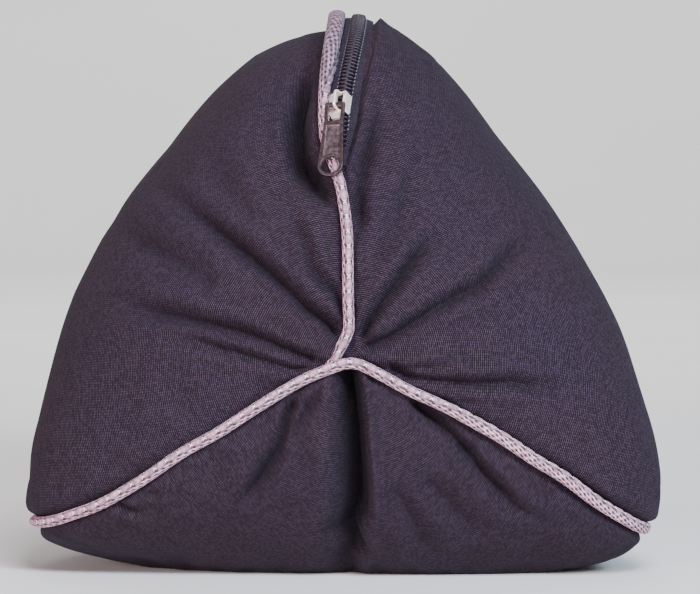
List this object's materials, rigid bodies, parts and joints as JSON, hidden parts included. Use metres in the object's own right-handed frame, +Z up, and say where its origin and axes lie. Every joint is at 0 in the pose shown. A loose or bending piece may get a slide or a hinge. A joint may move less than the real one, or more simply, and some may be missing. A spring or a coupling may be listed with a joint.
{
  "type": "neck pillow",
  "caption": "Filled neck pillow with wide rounded ends and a drawn-in waist, sewn from like panels with piped seams and a zip along its upper seam.",
  "frame": {"origin": "middle of the box's base, on the surface that the pillow lies on", "axes": "+Y along the pillow, away from the end with the zip pull; +Z up; +X to the right as that end is seen"},
  "size_m": [0.2042, 0.396, 0.1831],
  "materials": {
    "cover_cloth": "matte fine twill, dark charcoal with a purple cast",
    "piping_cord": "round braid, light lavender grey with pale flecks",
    "zip_tape": "woven navy tape",
    "zip_coil": "navy nylon coil, slight sheen",
    "slider_metal": "pale plated metal, bright where rubbed",
    "pull_metal": "dark brushed plating, worn bright at the rims"
  },
  "bodies": {
    "root": {"filled_cover": "cover_cloth", "piping_base": "piping_cord", "piping_top": "piping_cord", "zip_tape_left": "zip_tape", "zip_tape_right": "zip_tape", "zip_chain": "zip_coil", "zip_slider": "slider_metal", "zip_pull": "pull_metal"}
  },
  "joints": []
}
